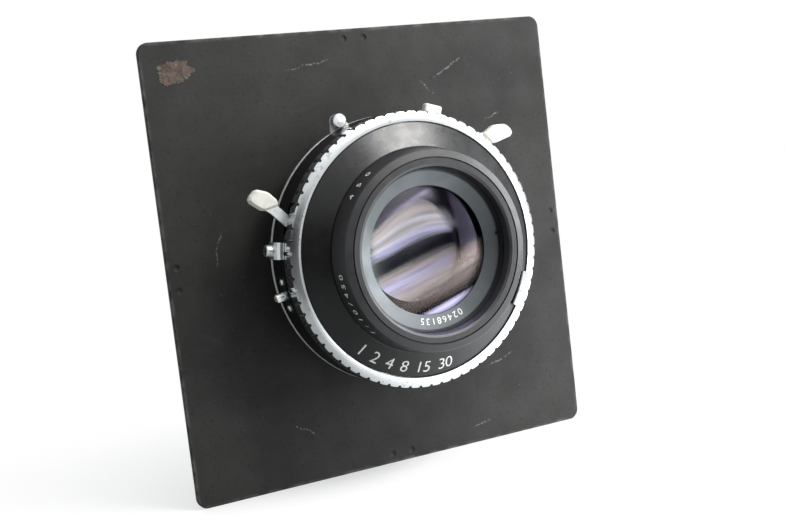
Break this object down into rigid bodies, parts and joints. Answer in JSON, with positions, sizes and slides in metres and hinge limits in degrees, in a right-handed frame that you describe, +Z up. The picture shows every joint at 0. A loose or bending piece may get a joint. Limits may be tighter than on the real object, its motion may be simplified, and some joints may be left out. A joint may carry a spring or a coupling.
{
  "type": "lens in leaf shutter on lens board",
  "caption": "View camera lens unit: square black lens board carrying a leaf shutter with a serrated speed ring, levers and iris, and a large lens cell with a filter thread.",
  "frame": {"origin": "on the optical axis, in the plane of the board's front face", "axes": "-Y along the optical axis towards the subject, +Z up, +X to the right as seen from the front"},
  "size_m": [0.162, 0.0723, 0.162],
  "materials": {
    "board_paint": "matte",
    "black_metal": "satin",
    "chrome": "satin",
    "steel": "brushed",
    "brass": "satin",
    "blade_steel": "matte",
    "white_tip": "matte",
    "insulator": "matte",
    "glass": "coated"
  },
  "bodies": {
    "fixed": {"lens_board": "board_paint", "light_trap_frame": "board_paint", "retaining_ring": "black_metal", "locating_screw": "steel", "shutter_housing": "black_metal", "aperture_ring_retainer": "steel", "iris_retainer": "steel", "blade_plate": "black_metal", "mechanism_plate": "brass", "spacer_posts": "steel", "mechanism_screws": "steel", "main_spring": "steel", "release_spring": "steel", "front_plate": "black_metal", "cable_release_socket": "chrome", "flash_terminal_flange": "black_metal", "flash_terminal_post": "chrome", "flash_terminal_insulator": "insulator", "flash_terminal_contact": "brass", "flash_terminal_screws": "steel", "front_cell_barrel": "black_metal", "filter_ring": "black_metal", "front_bevel_ring": "black_metal", "front_element_outer": "glass", "front_element_inner": "glass", "front_spacer": "black_metal", "rear_cell_barrel": "black_metal", "rear_bevel_ring": "black_metal", "rear_element_inner": "glass", "rear_element_outer": "glass"},
    "speed_ring": {"speed_ring": "chrome", "speed_cam_ring": "steel"},
    "aperture_ring": {"aperture_ring": "chrome", "aperture_knob": "chrome", "iris_ring": "brass", "iris_drive_arm": "steel"},
    "blade_ring": {"blade_ring": "brass", "preview_tab_cap": "white_tip"},
    "cocking_lever": {"cocking_ring": "chrome", "cocking_lever_cap": "white_tip"},
    "release_lever": {"release_lever": "chrome", "release_lever_cap": "white_tip"},
    "retard_gear": {"retard_gear": "brass"},
    "escape_wheel": {"escape_wheel": "brass"},
    "pallet": {"pallet": "steel"},
    "iris_blade_01": {"iris_blade_01": "blade_steel"},
    "iris_blade_02": {"iris_blade_02": "blade_steel"},
    "iris_blade_03": {"iris_blade_03": "blade_steel"},
    "iris_blade_04": {"iris_blade_04": "blade_steel"},
    "iris_blade_05": {"iris_blade_05": "blade_steel"},
    "iris_blade_06": {"iris_blade_06": "blade_steel"},
    "iris_blade_07": {"iris_blade_07": "blade_steel"},
    "iris_blade_08": {"iris_blade_08": "blade_steel"},
    "iris_blade_09": {"iris_blade_09": "blade_steel"},
    "iris_blade_10": {"iris_blade_10": "blade_steel"},
    "shutter_blade_1": {"shutter_blade_1": "blade_steel"},
    "shutter_blade_2": {"shutter_blade_2": "blade_steel"},
    "shutter_blade_3": {"shutter_blade_3": "blade_steel"},
    "shutter_blade_4": {"shutter_blade_4": "blade_steel"},
    "shutter_blade_5": {"shutter_blade_5": "blade_steel"}
  },
  "joints": [
    {"name": "speed_ring_turn", "type": "hinge", "parent": "fixed", "child": "speed_ring", "pos_m": [0, 0, 0], "axis": [0, -1, 0], "range_deg": [-110, 10]},
    {"name": "aperture_ring_turn", "type": "hinge", "parent": "fixed", "child": "aperture_ring", "pos_m": [0, 0, 0], "axis": [0, -1, 0], "range_deg": [-48, 0]},
    {"name": "focusing_tab_swing", "type": "hinge", "parent": "fixed", "child": "blade_ring", "pos_m": [0, 0, 0], "axis": [0, -1, 0], "range_deg": [0, 20]},
    {"name": "cocking_lever_swing", "type": "hinge", "parent": "fixed", "child": "cocking_lever", "pos_m": [0, 0, 0], "axis": [0, -1, 0], "range_deg": [-40, 0]},
    {"name": "release_lever_press", "type": "hinge", "parent": "fixed", "child": "release_lever", "pos_m": [-0.0399, 0, 0.0122], "axis": [0, -1, 0], "range_deg": [0, 12]},
    {"name": "retard_gear_spin", "type": "hinge", "parent": "fixed", "child": "retard_gear", "pos_m": [-0.01351, 0, -0.03712], "axis": [0, -1, 0], "range_deg": [-1, 413.43]},
    {"name": "escape_wheel_spin", "type": "hinge", "parent": "fixed", "child": "escape_wheel", "pos_m": [-0.02071, 0, -0.03363], "axis": [0, -1, 0], "range_deg": [-907.14, 1]},
    {"name": "pallet_rock", "type": "hinge", "parent": "fixed", "child": "pallet", "pos_m": [-0.02782, 0, -0.02734], "axis": [0, -1, 0], "range_deg": [-4, 4]},
    {"name": "iris_blade_01_swing", "type": "hinge", "parent": "fixed", "child": "iris_blade_01", "pos_m": [0.036, 0, 0], "axis": [0, -1, 0], "range_deg": [-28.7, 0.1]},
    {"name": "iris_blade_02_swing", "type": "hinge", "parent": "fixed", "child": "iris_blade_02", "pos_m": [0.02913, 0, 0.02116], "axis": [0, -1, 0], "range_deg": [-28.7, 0.1]},
    {"name": "iris_blade_03_swing", "type": "hinge", "parent": "fixed", "child": "iris_blade_03", "pos_m": [0.01112, 0, 0.03424], "axis": [0, -1, 0], "range_deg": [-28.7, 0.1]},
    {"name": "iris_blade_04_swing", "type": "hinge", "parent": "fixed", "child": "iris_blade_04", "pos_m": [-0.01112, 0, 0.03424], "axis": [0, -1, 0], "range_deg": [-28.7, 0.1]},
    {"name": "iris_blade_05_swing", "type": "hinge", "parent": "fixed", "child": "iris_blade_05", "pos_m": [-0.02913, 0, 0.02116], "axis": [0, -1, 0], "range_deg": [-28.7, 0.1]},
    {"name": "iris_blade_06_swing", "type": "hinge", "parent": "fixed", "child": "iris_blade_06", "pos_m": [-0.036, 0, 0], "axis": [0, -1, 0], "range_deg": [-28.7, 0.1]},
    {"name": "iris_blade_07_swing", "type": "hinge", "parent": "fixed", "child": "iris_blade_07", "pos_m": [-0.02913, 0, -0.02116], "axis": [0, -1, 0], "range_deg": [-28.7, 0.1]},
    {"name": "iris_blade_08_swing", "type": "hinge", "parent": "fixed", "child": "iris_blade_08", "pos_m": [-0.01112, 0, -0.03424], "axis": [0, -1, 0], "range_deg": [-28.7, 0.1]},
    {"name": "iris_blade_09_swing", "type": "hinge", "parent": "fixed", "child": "iris_blade_09", "pos_m": [0.01112, 0, -0.03424], "axis": [0, -1, 0], "range_deg": [-28.7, 0.1]},
    {"name": "iris_blade_10_swing", "type": "hinge", "parent": "fixed", "child": "iris_blade_10", "pos_m": [0.02913, 0, -0.02116], "axis": [0, -1, 0], "range_deg": [-28.7, 0.1]},
    {"name": "shutter_blade_1_swing", "type": "hinge", "parent": "fixed", "child": "shutter_blade_1", "pos_m": [0.03913, 0, 0.00832], "axis": [0, -1, 0], "range_deg": [-0.1, 34.1]},
    {"name": "shutter_blade_2_swing", "type": "hinge", "parent": "fixed", "child": "shutter_blade_2", "pos_m": [0.00418, 0, 0.03978], "axis": [0, -1, 0], "range_deg": [-0.1, 34.1]},
    {"name": "shutter_blade_3_swing", "type": "hinge", "parent": "fixed", "child": "shutter_blade_3", "pos_m": [-0.03654, 0, 0.01627], "axis": [0, -1, 0], "range_deg": [-0.1, 34.1]},
    {"name": "shutter_blade_4_swing", "type": "hinge", "parent": "fixed", "child": "shutter_blade_4", "pos_m": [-0.02677, 0, -0.02973], "axis": [0, -1, 0], "range_deg": [-0.1, 34.1]},
    {"name": "shutter_blade_5_swing", "type": "hinge", "parent": "fixed", "child": "shutter_blade_5", "pos_m": [0.02, 0, -0.03464], "axis": [0, -1, 0], "range_deg": [-0.1, 34.1]}
  ],
  "couplings": [
    {"joint": "retard_gear_spin", "follows": "cocking_lever_swing", "ratio": -10.286},
    {"joint": "escape_wheel_spin", "follows": "cocking_lever_swing", "ratio": 22.629},
    {"joint": "iris_blade_01_swing", "follows": "aperture_ring_turn", "ratio": 0.59583},
    {"joint": "iris_blade_02_swing", "follows": "aperture_ring_turn", "ratio": 0.59583},
    {"joint": "iris_blade_03_swing", "follows": "aperture_ring_turn", "ratio": 0.59583},
    {"joint": "iris_blade_04_swing", "follows": "aperture_ring_turn", "ratio": 0.59583},
    {"joint": "iris_blade_05_swing", "follows": "aperture_ring_turn", "ratio": 0.59583},
    {"joint": "iris_blade_06_swing", "follows": "aperture_ring_turn", "ratio": 0.59583},
    {"joint": "iris_blade_07_swing", "follows": "aperture_ring_turn", "ratio": 0.59583},
    {"joint": "iris_blade_08_swing", "follows": "aperture_ring_turn", "ratio": 0.59583},
    {"joint": "iris_blade_09_swing", "follows": "aperture_ring_turn", "ratio": 0.59583},
    {"joint": "iris_blade_10_swing", "follows": "aperture_ring_turn", "ratio": 0.59583},
    {"joint": "shutter_blade_1_swing", "follows": "focusing_tab_swing", "ratio": 1.7},
    {"joint": "shutter_blade_2_swing", "follows": "focusing_tab_swing", "ratio": 1.7},
    {"joint": "shutter_blade_3_swing", "follows": "focusing_tab_swing", "ratio": 1.7},
    {"joint": "shutter_blade_4_swing", "follows": "focusing_tab_swing", "ratio": 1.7},
    {"joint": "shutter_blade_5_swing", "follows": "focusing_tab_swing", "ratio": 1.7}
  ]
}
